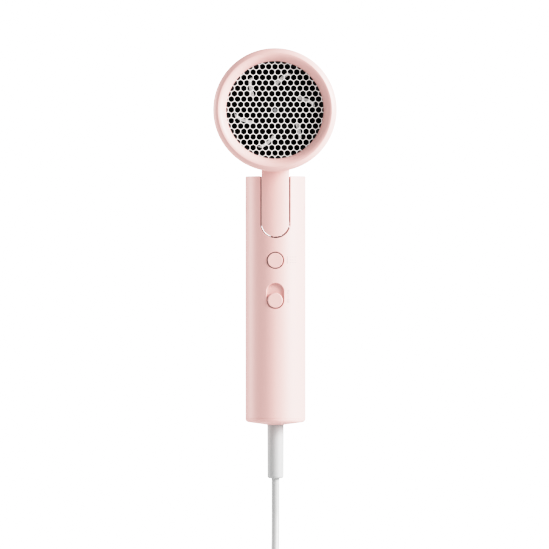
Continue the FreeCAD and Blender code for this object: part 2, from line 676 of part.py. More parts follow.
def intake_ring():
    """The rounded rear ring: a crest, and a bevelled wall that leads down to the mesh."""
    lip = "barrel_back_radius - barrel_wall - 0.05"
    lip_end = barrel_radius("barrel_back + 4") + " - barrel_wall - 0.05"
    return turned("intake_ring", [
        ("barrel_back + 4", lip_end), ("barrel_back", lip),
        ("barrel_back", "barrel_back_radius - joint_round"),
        ("barrel_back - joint_round", "barrel_back_radius"),
        ("-50", "ring_radius", "0.9"), ("ring_crest_y", "ring_crest", "0.35"),
        ("ring_inner_y", "ring_inner", "0.35"), ("mesh_y", "mesh_open"), ("mesh_y", "mesh_radius + 0.1"),
        ("mesh_y + 2.4", "mesh_radius + 0.1"), ("mesh_y + 2.4", lip + " - 1.6"),
        ("barrel_back + 4", lip + " - 1.6")])


def intake_mesh():
    """The honeycomb sheet in front of the fan, with every whole cell that fits inside the ring."""
    pitch, hole = value("mesh_pitch"), value("mesh_hole")
    row_height, reach = pitch * math.sqrt(3) / 2, value("mesh_open") - 0.3
    corner = hole / math.sqrt(3)
    wires_in = [Part.Wire(Part.makeCircle(value("mesh_radius"), Vector(), Vector(0, 1, 0)))]
    rows = int(reach / row_height) + 1
    for row in range(-rows, rows + 1):
        shift = pitch / 2 if row % 2 else 0
        for column in range(-rows, rows + 1):
            x, z = column * pitch + shift, row * row_height
            if math.hypot(x, z) + corner > reach:
                continue
            points = [Vector(x + corner * math.sin(math.radians(60 * k)), 0,
                             z + corner * math.cos(math.radians(60 * k))) for k in range(7)]
            wires_in.append(Part.makePolygon(points))
    sheet_face = Part.makeFace(wires_in, "Part::FaceMakerBullseye")
    piece = doc.addObject("Part::Feature", "intake_mesh")
    piece.Shape = sheet_face.extrude(Vector(0, value("mesh_thick"), 0))
    piece.Placement = Placement(Vector(0, value("mesh_y"), value("head_z")), Rotation())
    return piece


def mesh_retainer():
    """The snap ring that holds the mesh against the intake ring."""
    back = "mesh_y + mesh_thick"
    return turned("mesh_retainer", [
        (back + " + 1.7", "mesh_radius"), (back, "mesh_radius"), (back, "mesh_radius - 1.6"),
        (back + " + 1.7", "mesh_radius - 1.6")])


def fan_duct():
    """The liner that the fan runs in, with a flange at its mouth."""
    mouth = "mesh_y + 2.5"
    rim = "barrel_back_radius - barrel_wall - 1.8"
    return turned("fan_duct", [
        ("duct_front", "duct_bore + duct_wall"), (mouth + " + 1.5", "duct_bore + duct_wall"),
        (mouth + " + 1.5", rim), (mouth, rim), (mouth, "duct_bore"), ("duct_front", "duct_bore")])


def vane(name, angle, start, length, chord, thick, pitch, sweep):
    """A flat blade that starts at a radius and leans by its pitch and its sweep."""
    blade = doc.addObject("Part::Box", name)
    bind(blade, Length=length, Width=chord, Height=thick)
    around = Rotation(Vector(0, 1, 0), -angle)
    lean = Rotation(Vector(0, 1, 0), sweep).multiply(Rotation(Vector(1, 0, 0), pitch))
    middle = Placement(Vector(0, -chord / 2, -thick / 2), Rotation())
    at_root = Placement(Vector(start, 0, 0), lean)
    blade.Placement = Placement(Vector(), around).multiply(at_root).multiply(middle)
    return blade


def bladed_disc(name, count, phase, start, chord, thick, pitch, sweep, bore, rim, back, front):
    """Blades between two radii, moved to their place on the head's axis."""
    vanes = [vane(f"{name}_{i}", phase + 360 * i / count, start, 40, chord, thick, pitch, sweep)
             for i in range(count)]
    blades = join(name + "_blades", *vanes)
    move_to(blades, z="head_z", y=f"({back} + {front}) / 2")
    outer = rod(name + "_rim", "y", rim, back, front, ("0", "head_z"))
    inner = rod(name + "_bore", "y", bore, f"{back} - 1", f"{front} + 1", ("0", "head_z"))
    return shared(name + "_disc", blades, cut(name + "_zone", outer, inner))


def fan_impeller():
    """The six-bladed fan: swept blades on a domed hub."""
    blades = bladed_disc("fan", 6, 43.5, 6, 18, 1.2, 60, 38, "hub_radius - 3", "fan_radius",
                         "fan_y - 6", "fan_y + 6")
    hub = turned("fan_hub", [
        ("fan_y + 5.5", "hub_radius"), ("fan_y - 5.5", "hub_radius"),
        ("fan_y - 7", "hub_radius - 3"), ("fan_y - 7", "shaft_radius"),
        ("fan_y + 5.5", "shaft_radius")])
    return join("fan_impeller", blades, hub)


def motor_shaft():
    return rod("motor_shaft", "y", "shaft_radius", "fan_y - 7", "-4", ("0", "head_z"))


def motor_mount():
    """The fixed vanes behind the fan, between an outer band and the cup that holds the motor."""
    vanes = bladed_disc("stator", 7, 10, 8, 16, 1.2, 65, 10, "motor_radius + 1.2", "duct_bore - 1.2",
                        "motor_back", "motor_back + 13")
    band = cut("stator_band", rod("band_out", "y", "duct_bore - 0.03", "motor_back", "motor_back + 13",
                                  ("0", "head_z")),
               rod("band_in", "y", "duct_bore - 1.3", "-40", "0", ("0", "head_z")))
    cup = cut("stator_cup", rod("cup_out", "y", "motor_radius + 1.4", "motor_back - 1.5", "-6",
                                ("0", "head_z")),
              rod("cup_in", "y", "motor_radius + 0.03", "motor_back", "0", ("0", "head_z")),
              rod("cup_hole", "y", "4", "-40", "0", ("0", "head_z")))
    return join("motor_mount", vanes, band, cup)


def motor_can():
    can = rod("can_body", "y", "motor_radius", "motor_back + 0.05", "2", ("0", "head_z"))
    bore = rod("can_bore", "y", "shaft_radius + 0.05", "-40", "-3", ("0", "head_z"))
    return cut("motor_can", can, bore)


def motor_end_bell():
    bell = rod("bell_disc", "y", "motor_radius - 0.6", "2", "5", ("0", "head_z"))
    tabs = [block(f"bell_tab_{side + 1}", (7 * side - 0.4, 7 * side + 0.4), ("4", "9.5"),
                  ("head_z - 1.5", "head_z + 1.5")) for side in (-1, 1)]
    return join("motor_end_bell", bell, *tabs)


def rectifier_board():
    """The round board on the motor's tabs with its four diodes."""
    board = rod("rectifier_disc", "y", "motor_radius - 1", "6.5", "8", ("0", "head_z"))
    slots = [block(f"tab_slot_{side + 1}", (7 * side - 0.45, 7 * side + 0.45), ("6", "9"),
                   ("head_z - 1.55", "head_z + 1.55")) for side in (-1, 1)]
    diodes = [rod(f"bridge_diode_{i}", "x", "1.2", "-2.2", "2.2",
                  ("9", f"head_z + {3.4 * (i - 1.5)}")) for i in range(4)]
    return join("rectifier_board", cut("rectifier_slotted", board, *slots), *diodes)


def heater_tube():
    """The rolled mica sleeve round the heater."""
    return cut("heater_tube", rod("mica_out", "y", "mica_radius", "mica_back", "outlet_line - 3.5",
                                  ("0", "head_z")),
               rod("mica_in", "y", "mica_bore", "-10", "80", ("0", "head_z")))


def heater_frame():
    """The two mica plates, crossed, that the heating wire is wound on."""
    thick = ("-cross_thick / 2", "cross_thick / 2")
    span = ("-cross_half", "cross_half")
    upright = block("cross_upright", thick, ("12", "outlet_line - 4"),
                    ("head_z - cross_half", "head_z + cross_half"))
    level = block("cross_level", span, ("12", "outlet_line - 4"),
                  ("head_z - cross_thick / 2", "head_z + cross_thick / 2"))
    return join("heater_frame", upright, level)


def heater_coils():
    """The resistance wire: seven turns, one in each row round the edges of the mica cross."""
    rows = []
    for i in range(7):
        row = doc.addObject("Part::Torus", f"coil_row_{i}")
        row.Placement = Placement(Vector(), TURNS["y"])
        bind(row, Radius1="coil_radius", Radius2="coil_wire")
        rows.append(move_to(row, y=f"coil_start + {i} * coil_pitch", z="head_z"))
    return group("heater_coils", *rows)


def thermostat():
    """The resetting bimetal switch on the mica cross."""
    return block("thermostat", ("5", "14"), ("44", "53"),
                 ("head_z + cross_thick / 2", "head_z + cross_thick / 2 + 4"))


def thermal_fuse():
    return rod("thermal_fuse", "y", "1.5", "40", "52", ("-9", "head_z + cross_thick / 2 + 1.5"))


def outlet_ring():
    """The heat-resistant nose of the barrel, with the round seat for a nozzle."""
    lip = barrel_radius("outlet_line") + " - barrel_wall - 0.05"
    return turned("outlet_ring", [
        ("outlet_end", "seat_radius"), ("outlet_end", "outlet_end_radius - 0.4"),
        ("outlet_end - 0.4", "outlet_end_radius"),
        ("outlet_line + joint_round", barrel_radius("outlet_line")),
        ("outlet_line", barrel_radius("outlet_line") + " - joint_round"),
        ("outlet_line", lip), ("outlet_line - 6", lip), ("outlet_line - 6", "mica_radius + 0.1"),
        ("outlet_line - 0.4", "mica_radius + 0.1"), ("outlet_line", "seat_radius")])


def outlet_grille():
    """The guard in the outlet: rings joined by six spokes."""
    back, front = "outlet_line - 3.4", "outlet_line - 0.9"
    pieces = [rod("grille_boss", "y", "4", back, front, ("0", "head_z"))]
    for i, radius in enumerate(("mica_radius", "21.5", "15.5", "9.5")):
        pieces.append(cut(f"grille_ring_{i}",
                          rod(f"grille_out_{i}", "y", radius, back, front, ("0", "head_z")),
                          rod(f"grille_in_{i}", "y", f"{radius} - 1.1", "50", "70", ("0", "head_z"))))
    for i in range(3):
        spoke = block(f"grille_spoke_{i}", ("-mica_radius + 0.5", "mica_radius - 0.5"), (back, front),
                      ("-0.6", "0.6"))
        turn = doc.addObject("Part::Compound", f"grille_turn_{i}")
        turn.Links = [spoke]
        turn.Placement = Placement(Vector(), Rotation(Vector(0, 1, 0), 30 + 60 * i))
        move_to(turn, z="head_z")
        pieces.append(turn)
    return join("outlet_grille", *pieces)


# ---- the whole dryer ----------------------------------------------------------------------

parts = [
    handle_sleeve(), handle_end_cap(), hinge_yoke(), yoke_screws(), hinge_wave_washers(),
    switch_carrier(), control_board(), board_screws(), speed_switch(), temp_switch(),
    wires("handle_wires", "yoke_foot - 0.9", "pivot_z - 3", "0"), cord_inner_end(), cord_clamp(),
    cord_clamp_screws(), strain_relief(), mains_cord(), cord_hank(), cord_tie(), plug_lead(),
    plug_body(), plug_pins(), temp_button_cap(), temp_button_spring(), slider_knob(),
    slider_shutter(), speed_switch_lever(), *neck_shells(), neck_screws(), barrel_shell(),
    intake_ring(), intake_mesh(), mesh_retainer(), fan_duct(), fan_impeller(), motor_shaft(),
    motor_mount(), motor_can(), motor_end_bell(), rectifier_board(), heater_tube(),
    heater_frame(), heater_coils(), thermostat(), thermal_fuse(), outlet_ring(),
    outlet_grille(), wires("head_wires", "pivot_z + 3", "head_z - 16.5", "-5"),
]
for side, word in ((-1, "left"), (1, "right")):
    for make in (pivot_cap, hinge_pin, hinge_bush):
        parts.append(make(side, f"{make.__name__}_{word}"))
doc.recompute()

os.makedirs("parts", exist_ok=True)
failed = [item.Name for item in doc.Objects if "Invalid" in item.State or "Error" in item.State]
for part in parts:
    if part.Shape.isNull() or not part.Shape.isValid() or not part.Shape.Solids:
        failed.append(part.Name)
if failed:
    raise RuntimeError(f"these objects did not build: {failed}")
for part in parts:
    part.Shape.exportStep(f"parts/{part.Label}.step")
cord = doc.getObject("mains_cord")
section = math.pi * value("cord_radius") ** 2
print(f"{len(parts)} sub-parts; supply cord {cord.Shape.Volume / section:.1f} mm long, straight")
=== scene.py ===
import math

import bmesh
import bpy
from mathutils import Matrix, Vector


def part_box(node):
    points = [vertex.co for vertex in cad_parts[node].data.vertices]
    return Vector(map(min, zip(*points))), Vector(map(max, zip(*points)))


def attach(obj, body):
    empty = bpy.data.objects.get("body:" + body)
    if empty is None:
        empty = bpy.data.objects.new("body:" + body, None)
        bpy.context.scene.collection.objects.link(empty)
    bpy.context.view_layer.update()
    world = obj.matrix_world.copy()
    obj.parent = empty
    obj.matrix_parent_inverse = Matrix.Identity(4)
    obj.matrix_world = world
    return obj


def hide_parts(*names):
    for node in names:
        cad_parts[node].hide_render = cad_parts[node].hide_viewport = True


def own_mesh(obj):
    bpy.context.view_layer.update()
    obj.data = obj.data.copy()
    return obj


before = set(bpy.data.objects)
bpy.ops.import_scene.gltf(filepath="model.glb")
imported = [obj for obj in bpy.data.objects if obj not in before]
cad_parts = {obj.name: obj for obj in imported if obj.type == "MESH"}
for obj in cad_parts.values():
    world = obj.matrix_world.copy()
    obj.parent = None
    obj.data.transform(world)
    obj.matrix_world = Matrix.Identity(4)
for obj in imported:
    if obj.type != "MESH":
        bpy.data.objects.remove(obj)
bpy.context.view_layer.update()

# ---- the room -----------------------------------------------------------------------------
# The dryer hangs free in front of a white sweep.  A large soft light stands on its right, in front
# of it and above it, and a weak one behind it on the left lights the far edge.
VIEW_WIDTH = 0.3385            # how much of the front plane the picture takes in
FRONT_PLANE = 0.045            # how far that plane stands in front of the handle's axis
CAMERA_AWAY = 4.0
CAMERA_TURN = math.radians(0.4)
AIM = Vector((-0.0006, 0, 0.0162))

camera_data = bpy.data.cameras.new("camera")
camera_data.sensor_width = 36
camera_data.lens = camera_data.sensor_width * (CAMERA_AWAY - FRONT_PLANE) / VIEW_WIDTH
camera_data.clip_end = 30
camera = bpy.data.objects.new("camera", camera_data)
camera.location = AIM + CAMERA_AWAY * Vector((math.sin(CAMERA_TURN), -math.cos(CAMERA_TURN), 0))
camera.rotation_euler = (math.radians(90), 0, CAMERA_TURN)
bpy.context.collection.objects.link(camera)
bpy.context.scene.camera = camera


def soft_light(name, turn, away, height, size, power):
    """A square soft light at an angle round the dryer, 0 in front and 90 on the right."""
    data = bpy.data.lights.new(name, "AREA")
    data.shape, data.size, data.energy = "SQUARE", size, power
    light = bpy.data.objects.new(name, data)
    turn = math.radians(turn)
    light.location = AIM + Vector((away * math.sin(turn), -away * math.cos(turn), height))
    light.rotation_euler = (AIM - light.location).to_track_quat("-Z", "Y").to_euler()
    bpy.context.collection.objects.link(light)


soft_light("key_light", turn=66, away=1.5, height=0.55, size=0.8, power=12)
soft_light("edge_light", turn=-106, away=1.6, height=0.2, size=0.8, power=3)

world = bpy.data.worlds.new("white_room")
bpy.context.scene.world = world
world.use_nodes = True
seen = world.node_tree.nodes.new("ShaderNodeLightPath")
dimmer = world.node_tree.nodes.new("ShaderNodeMapRange")
dimmer.inputs["To Min"].default_value = 0.18       # what the room gives as light
dimmer.inputs["To Max"].default_value = 1.0        # how bright the sweep looks behind the dryer
background = world.node_tree.nodes["Background"]
background.inputs["Color"].default_value = (1, 1, 1, 1)
world.node_tree.links.new(seen.outputs["Is Camera Ray"], dimmer.inputs["Value"])
world.node_tree.links.new(dimmer.outputs["Result"], background.inputs["Strength"])
# the picture rolls off gently towards white, as film does, so the lit side of a pale thing pales
view = bpy.context.scene.view_settings
view.view_transform = "Standard"
view.use_curve_mapping = True
film = view.curve_mapping
film.use_clip = False
shoulder = film.curves[3]      # the curve of all three colours together
for light, shown in ((0.012, 0.014), (0.03, 0.09), (0.06, 0.23), (0.1125, 0.45), (0.16, 0.61),
                     (0.1925, 0.70), (0.3, 0.86), (0.525, 0.95), (0.85, 1.0)):
    shoulder.points.new(light, shown)
film.update()

FLOOR_HEIGHT = -0.46
floor_mesh = bpy.data.meshes.new("floor")
floor_mesh.from_pydata([(x, y, FLOOR_HEIGHT) for x, y in ((-1, -1), (1, -1), (1, 1), (-1, 1))],
                       [], [(0, 1, 2, 3)])
floor = bpy.data.objects.new("floor", floor_mesh)
bpy.context.collection.objects.link(floor)

# ---- supply cord --------------------------------------------------------------------------
# A round vinyl flex, 5 mm thick and about 1.8 m long.  It hangs straight from the strain relief,
# and the rest of it is folded into a hank of six turns in three layers, with the plug below.
MM = 0.001
CORD_THICK = 5 * MM
HANK_MIDDLE = -219 * MM
HANK_RUN = 37.7 * MM           # half of the straight part of a turn
LAYER = 5.2 * MM               # from one layer of turns to the next
INNER, OUTER = 15.5 * MM, 20.7 * MM
# each turn's end radius, how far out it passes through the strap, and its layer
TURNS = [(INNER, 2.7 * MM, -1), (OUTER, 7.9 * MM, -1), (OUTER, 7.9 * MM, 0),
         (INNER, 2.7 * MM, 0), (INNER, 2.7 * MM, 1), (OUTER, 7.9 * MM, 1)]
BELLY = 1.2 * MM               # how far the runs bow out between the strap and the ends
BELLY_AT = 0.45                # where along a run that is
END_FROM = 0.8                 # where along a run the next turn's end starts to grow
END_STEPS = 8                  # points round each end
HALF_TURN = END_STEPS + 4      # the point where a turn crosses the strap on its way up
WHITE = (0.45, 0.45, 0.447)


class Signal:
    """A value in a node tree that adds, multiplies and compares like a number."""

    def __init__(self, tree, socket):
        self.tree, self.socket = tree, socket

    def maths(self, operation, *values):
        return self.tree.node("ShaderNodeMath", {"operation": operation}, *values)

    def output(self, name):
        return Signal(self.tree, self.socket.node.outputs[name])

    def __add__(self, other):
        return self.maths("ADD", self, other)

    def __sub__(self, other):
        return self.maths("SUBTRACT", self, other)

    def __rsub__(self, other):
        return self.maths("SUBTRACT", other, self)

    def __mul__(self, other):
        return self.maths("MULTIPLY", self, other)

    def __truediv__(self, other):
        return self.maths("DIVIDE", self, other)

    def __rtruediv__(self, other):
        return self.maths("DIVIDE", other, self)

    def __pow__(self, other):
        return self.maths("POWER", self, other)

    def __mod__(self, other):
        return self.maths("MODULO", self, other)

    def __gt__(self, other):
        return self.maths("GREATER_THAN", self, other)

    def __lt__(self, other):
        return self.maths("LESS_THAN", self, other)

    __radd__, __rmul__ = __add__, __mul__


class Tree:
    """A node tree written as calls and sums."""

    def __init__(self, tree):
        self.tree = tree

    def fill(self, socket, value):
        if isinstance(value, Signal):
            self.tree.links.new(value.socket, socket)
        else:
            socket.default_value = value

    def node(self, kind, settings, *values, output=0, **named):
        """Adds a node: its type, its settings, then what goes into its sockets."""
        made = self.tree.nodes.new(kind)
        for setting, value in settings.items():
            setattr(made, setting, value)
        for place, value in enumerate(values):
            self.fill(made.inputs[place], value)
        for name, value in named.items():
            self.fill(made.inputs[name.replace("_", " ")], value)
        return Signal(self, made.outputs[output])


class Finish(Tree):
    """A material round one Principled shader."""

    def __init__(self, name, colour, roughness, **sockets):
        self.material = bpy.data.materials.new(name)
        self.material.use_nodes = True
        super().__init__(self.material.node_tree)
        self.shader = self.tree.nodes["Principled BSDF"]
        self.set(Base_Color=(*colour, 1), Roughness=roughness, **sockets)
        self.place = self.node("ShaderNodeTexCoord", {}, output="Object")

    def set(self, **sockets):
        for name, value in sockets.items():
            self.fill(self.shader.inputs[name.replace("_", " ")], value)

    def noise(self, size, detail=2.0, stretch=(1, 1, 1)):
        """Smooth noise between 0 and 1, with patches about this big."""
        place = self.node("ShaderNodeMapping", {}, Vector=self.place, Scale=stretch)
        return self.node("ShaderNodeTexNoise", {}, Vector=place, Scale=1 / size, Detail=detail)

    def blend(self, share, first, second):
        """The first colour where share is 0, the second where it is 1."""
        made = self.tree.nodes.new("ShaderNodeMix")
        made.data_type = "RGBA"
        self.fill(made.inputs[0], share)
        for place, colour in ((6, first), (7, second)):
            self.fill(made.inputs[place], colour if isinstance(colour, Signal) else (*colour, 1))
        return Signal(self, made.outputs[2])

    def bump(self, height, depth, strength=1.0):
        self.set(Normal=self.node("ShaderNodeBump", {}, Height=height, Distance=depth,
                                  Strength=strength))

    def axes(self):
        """Where a point lies, in metres."""
        x = self.node("ShaderNodeSeparateXYZ", {}, self.place)
        return x, x.output("Y"), x.output("Z")

    def dress(self, *names):
        """Gives this finish to CAD parts."""
        for name in names:
            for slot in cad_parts[name].material_slots:
                slot.material = self.material


def darker(colour, share):
    return tuple(share * part for part in colour)


def vinyl(name, colour, roughness):
    """Soft moulded or extruded plastic: a slight mottle, and a skin that isn't quite smooth."""
    finish = Finish(name, colour, roughness)
    mottle = finish.noise(7 * MM, 3)
    finish.set(Base_Color=finish.blend(mottle, darker(colour, 0.94), colour),
               Roughness=roughness - 0.06 + 0.12 * finish.noise(2 * MM))
    finish.bump(finish.noise(0.3 * MM, 3), 0.02 * MM, 0.5)
    return finish


def turn_points(radius, column, layer):
    """One turn of the hank: from the strap down the left, round, up the right and round again."""
    waist = ((column + radius) / 2 + BELLY, BELLY_AT * HANK_RUN)
    angles = [math.radians(180 * step / END_STEPS) for step in range(END_STEPS + 1)]
    ring = [(radius * math.cos(a), HANK_RUN + radius * math.sin(a)) for a in angles]
    outline = [(-column, 0), (-waist[0], -waist[1]), *((-x, -z) for x, z in ring),
               (waist[0], -waist[1]), (column, 0), waist, *ring, (-waist[0], waist[1])]
    return [Vector((x, layer * LAYER, HANK_MIDDLE + z)) for x, z in outline]


route = [Vector(p) * MM for p in ((0, 0, -110.9), (0, 0, -125), (0, -0.5, -137), (0, -5.5, -149),
                                  (-0.3, -9.8, -160), (-1.2, -10.2, -172), (-2.4, -8.5, -190))]
for (radius, column, layer), (next_radius, _, next_layer) in zip(TURNS, TURNS[1:] + TURNS[-1:]):
    points = turn_points(radius, column, layer)
    for step, point in enumerate(points[HALF_TURN + 1:], 1):
        share = step / (len(points) - HALF_TURN)
        growth = share * (next_radius / radius - 1)
        point.y += share * (next_layer - layer) * LAYER
        point.z += growth * max(0, point.z - HANK_MIDDLE - END_FROM * HANK_RUN)
        point.x *= 1 + growth
    route += points
route += [Vector(p) * MM for p in ((-6.5, 6, -219), (-4, 8.8, -245), (-1.5, 10.2, -268),
                                   (-0.3, 7.5, -283), (0, 2, -294), (0, 0, -306))]


def round_wire(name, points, thick, finish):
    """A smooth round cord with these control points."""
    data = bpy.data.curves.new(name, "CURVE")
    data.dimensions = "3D"
    spline = data.splines.new("NURBS")
    spline.points.add(len(points) - 1)
    for point, place in zip(spline.points, points):
        point.co = (*place, 1)
    spline.order_u = 3
    spline.use_endpoint_u = True
    spline.resolution_u = 6
    data.bevel_depth, data.bevel_resolution = thick / 2, 6
    data.use_fill_caps = True
    data.materials.append(finish.material)
    wire = bpy.data.objects.new(name, data)
    bpy.context.collection.objects.link(wire)
    return wire


cord_vinyl = vinyl("cord_vinyl", WHITE, 0.42)
supply_cord = round_wire("supply_cord", route, CORD_THICK, cord_vinyl)
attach(supply_cord, "handle")
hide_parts("mains_cord", "cord_hank", "plug_lead")
cord_vinyl.dress("cord_inner_end")

# ---- strap round the hank ------------------------------------------------------------------
# A flat black rubber strap, 8 mm wide, that goes once round the waist of the hank as a closed
# loop.  It is moulded, with a fine ribbed face.
STRAP_WIDE, STRAP_THICK = 8 * MM, 1.1 * MM
STRAP_HALF, STRAP_DEEP = 11.6 * MM, 8.3 * MM
STRAP_STEPS = 64
STRAP_CORNERS = 0.55           # 1 would make the loop an ellipse, and less squares it off
RIB_PITCH = 0.8 * MM


def placed(name, mesh_data, finish, smooth=True):
    """Puts a finished mesh in the scene with its finish."""
    mesh_data.materials.append(finish.material)
    for face in mesh_data.polygons:
        face.use_smooth = smooth
    piece = bpy.data.objects.new(name, mesh_data)
    bpy.context.collection.objects.link(piece)
    return piece


def plain_mesh(name, shape):
    """Turns a bmesh into mesh data, with its doubles merged and its faces pointing outwards."""
    bmesh.ops.remove_doubles(shape, verts=shape.verts, dist=0.002 * MM)
    bmesh.ops.recalc_face_normals(shape, faces=shape.faces)
    data = bpy.data.meshes.new(name)
    shape.to_mesh(data)
    shape.free()
    return data


def strap_ring(half, deep):
    """A rounded oblong round the waist of the hank, seen from above."""
    return [(math.copysign(abs(math.cos(a)) ** STRAP_CORNERS, math.cos(a)) * half,
             math.copysign(abs(math.sin(a)) ** STRAP_CORNERS, math.sin(a)) * deep)
            for a in [2 * math.pi * step / STRAP_STEPS for step in range(STRAP_STEPS)]]


shape = bmesh.new()
loops = []
for inside, z in ((STRAP_THICK, -0.5), (0, -0.5), (0, 0.5), (STRAP_THICK, 0.5)):
    loops.append([shape.verts.new((x, y, HANK_MIDDLE + z * STRAP_WIDE))
                  for x, y in strap_ring(STRAP_HALF - inside, STRAP_DEEP - inside)])
for lower, upper in zip(loops, loops[1:] + loops[:1]):
    for step in range(STRAP_STEPS):
        after = (step + 1) % STRAP_STEPS
        shape.faces.new((lower[step], lower[after], upper[after], upper[step]))
strap_rubber = Finish("strap_rubber", (0.03, 0.03, 0.032), 0.6)
ribs = strap_rubber.axes()[2] / RIB_PITCH % 1
strap_rubber.set(Roughness=0.5 + 0.2 * strap_rubber.noise(1.5 * MM))
strap_rubber.bump((ribs > 0.5) + 0.3 * strap_rubber.noise(0.3 * MM), 0.1 * MM, 0.6)
cord_strap = placed("cord_strap", plain_mesh("cord_strap", shape), strap_rubber)
edge = cord_strap.modifiers.new("soft_edges", "BEVEL")
edge.width, edge.segments, edge.limit_method = 0.25 * MM, 2, "ANGLE"
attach(cord_strap, "handle")
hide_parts("cord_tie")

# ---- strain relief and plug ----------------------------------------------------------------
# The strain relief is one plain sleeve of white rubber, moulded on the cord and held in the end
# cap.  The plug is hard white plastic moulded round two plated round pins.
relief_rubber = vinyl("relief_rubber", WHITE, 0.5)
relief_rubber.dress("strain_relief")
plug_plastic = vinyl("plug_plastic", (0.6, 0.6, 0.595), 0.35)
plug_plastic.dress("plug_body", "thermal_fuse")


def metal(name, colour, roughness, brush=(1, 1, 1)):
    """Bare metal with the fine marks of drawing or turning in one direction."""
    finish = Finish(name, colour, roughness, Metallic=1.0)
    marks = finish.noise(0.25 * MM, 4, brush)
    finish.set(Roughness=roughness - 0.08 + 0.16 * marks,
               Base_Color=finish.blend(finish.noise(4 * MM, 3), darker(colour, 0.85), colour))
    finish.bump(marks, 0.01 * MM, 0.4)
    return finish


metal("plated_brass", (0.75, 0.74, 0.70), 0.18, (1, 1, 0.1)).dress("plug_pins")

# ---- pink shells ---------------------------------------------------------------------------
# The handle, its end cap, the neck, the barrel and the intake ring are moulded from one pale
# pink plastic with a fine spark-eroded grain, which gives them a soft satin look.
PINK = (0.77, 0.468, 0.442)
pink_shell = Finish("pink_satin_plastic", PINK, 0.42)
cloud = pink_shell.noise(24 * MM, 2)
pink_shell.set(Base_Color=pink_shell.blend(cloud, darker(PINK, 0.97), PINK),
               Roughness=0.38 + 0.1 * pink_shell.noise(1.2 * MM))
grain = pink_shell.noise(0.22 * MM, 3) + 0.5 * pink_shell.noise(0.09 * MM)
pink_shell.bump(grain, 0.012 * MM, 0.35)
pink_shell.dress("handle_sleeve", "handle_end_cap", "pivot_cap_left", "pivot_cap_right",
                 "neck_rear_shell", "neck_front_shell", "barrel_shell", "intake_ring")

# ---- button, slider and their marks --------------------------------------------------------
# The temperature button and the speed knob are the same pink, polished a little smoother by
# thumbs.  Small signs stand beside them in pale grey ink: a bar and dashes, and 2, 1 and 0.
thumb_pink = Finish("thumb_pink_plastic", PINK, 0.34)
thumb_pink.set(Base_Color=thumb_pink.blend(thumb_pink.noise(9 * MM), darker(PINK, 0.97), PINK),
               Roughness=0.3 + 0.1 * thumb_pink.noise(1.2 * MM))
thumb_pink.bump(thumb_pink.noise(0.2 * MM, 3), 0.01 * MM, 0.25)
thumb_pink.dress("temp_button_cap", "slider_knob")
shutter_pink = vinyl("shutter_pink_plastic", darker(PINK, 0.8), 0.45)
shutter_pink.dress("slider_shutter")

INK_THICK = 0.03 * MM
INK_STEPS = 4                  # faces across each printed oblong
HANDLE_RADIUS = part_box("handle_sleeve")[1].x


def ink_patch(shape, x, z, width, height):
    """A small printed oblong that lies on the round handle."""
    rows = []
    for lift in (0, INK_THICK):
        for side in (-0.5, 0.5):
            row = []
            for step in range(INK_STEPS + 1):
                across = x + width * (step / INK_STEPS - 0.5)
                out = HANDLE_RADIUS + lift
                row.append(shape.verts.new((across, -math.sqrt(out * out - across * across),
                                            z + side * height)))
            rows.append(row)
    under_low, under_high, top_low, top_high = rows
    for a, b in ((top_low, top_high), (under_low, under_high), (under_low, top_low),
                 (under_high, top_high)):
        for step in range(INK_STEPS):
            shape.faces.new((a[step], a[step + 1], b[step + 1], b[step]))
    for end in (0, INK_STEPS):
        shape.faces.new((under_low[end], under_high[end], top_high[end], top_low[end]))


shape = bmesh.new()
# each oblong's middle, x and z, and its width and height, all in mm
marks = [(7.5, 25.2, 0.5, 4.6)]                                                  # the bar
marks += [(x, z, 1.0, 0.35) for z in (27.1, 25.2, 23.6) for x in (9.4, 10.9, 12.4)]
marks += [(8.0, 6.4, 1.3, 0.3), (8.5, 5.9, 0.3, 0.8), (8.0, 5.4, 1.3, 0.3),      # 2
          (7.5, 4.9, 0.3, 0.8), (8.0, 4.4, 1.3, 0.3)]
marks += [(8.0, 2.65, 0.35, 1.9)]                                                # 1
marks += [(7.6, -0.1, 0.3, 1.7), (8.5, -0.1, 0.3, 1.7),                          # 0
          (8.05, 0.9, 1.2, 0.3), (8.05, -1.1, 1.2, 0.3)]
for x, z, width, height in marks:
    ink_patch(shape, x * MM, z * MM, width * MM, height * MM)
grey_ink = Finish("grey_ink", (0.42, 0.36, 0.36), 0.5)
grey_ink.set(Base_Color=grey_ink.blend(grey_ink.noise(0.4 * MM), (0.46, 0.40, 0.40),
                                       (0.36, 0.31, 0.31)))
control_marks = placed("control_marks", plain_mesh("control_marks", shape), grey_ink, False)
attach(control_marks, "handle")

# ---- button spring -------------------------------------------------------------------------
# A small helical spring of bright wire under the button, with its ends closed flat.
SPRING_LOW, SPRING_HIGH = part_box("temp_button_spring")
SPRING_WIRE = 0.5 * MM
SPRING_TURNS = 5
SPRING_POINTS = 14             # along each turn
SPRING_FLAT = 0.1              # the share of the wire that lies flat at each end


def tube(name, path, thick, sides, finish):
    """A round wire as a mesh, along a path of points."""
    shape = bmesh.new()
    rings = []
    for i, point in enumerate(path):
        along = (path[min(i + 1, len(path) - 1)] - path[max(i - 1, 0)]).normalized()
        across = along.cross(Vector((0, 1, 0)) if abs(along.y) < 0.9 else Vector((1, 0, 0)))
        across.normalize()
        other = along.cross(across)
        rings.append([shape.verts.new(point + thick / 2 * (math.cos(a) * across +
                                                           math.sin(a) * other))
                      for a in [2 * math.pi * side / sides for side in range(sides)]])
    for ring, after in zip(rings, rings[1:]):
        for side in range(sides):
            beside = (side + 1) % sides
            shape.faces.new((ring[side], ring[beside], after[beside], after[side]))
    for end in (rings[0], rings[-1]):
        shape.faces.new(end)
    return placed(name, plain_mesh(name, shape), finish)


